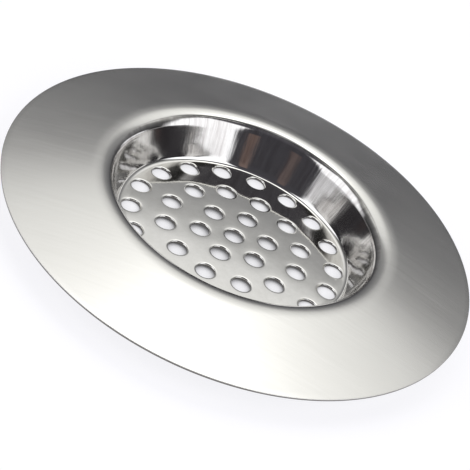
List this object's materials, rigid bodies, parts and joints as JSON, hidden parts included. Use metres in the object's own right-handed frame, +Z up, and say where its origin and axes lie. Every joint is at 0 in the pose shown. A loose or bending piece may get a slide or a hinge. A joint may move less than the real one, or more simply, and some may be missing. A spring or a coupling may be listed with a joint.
{
  "type": "sink strainer",
  "caption": "Round stainless steel sink strainer: a wide dished satin flange ring round a shallow polished cup with a perforated floor.",
  "frame": {"origin": "centre of the flat underside of the cup's floor, which the strainer stands on", "axes": "+Z up along the strainer's axis, out of the cup's mouth; the strainer is round, and +X is any radius"},
  "size_m": [0.075, 0.075, 0.0074],
  "materials": {
    "satin_steel": "satin-brushed stainless steel",
    "polished_steel": "bright drawn stainless steel, polished almost to a mirror"
  },
  "bodies": {
    "root": {"flange_ring": "satin_steel", "perforated_cup": "polished_steel"}
  },
  "joints": []
}
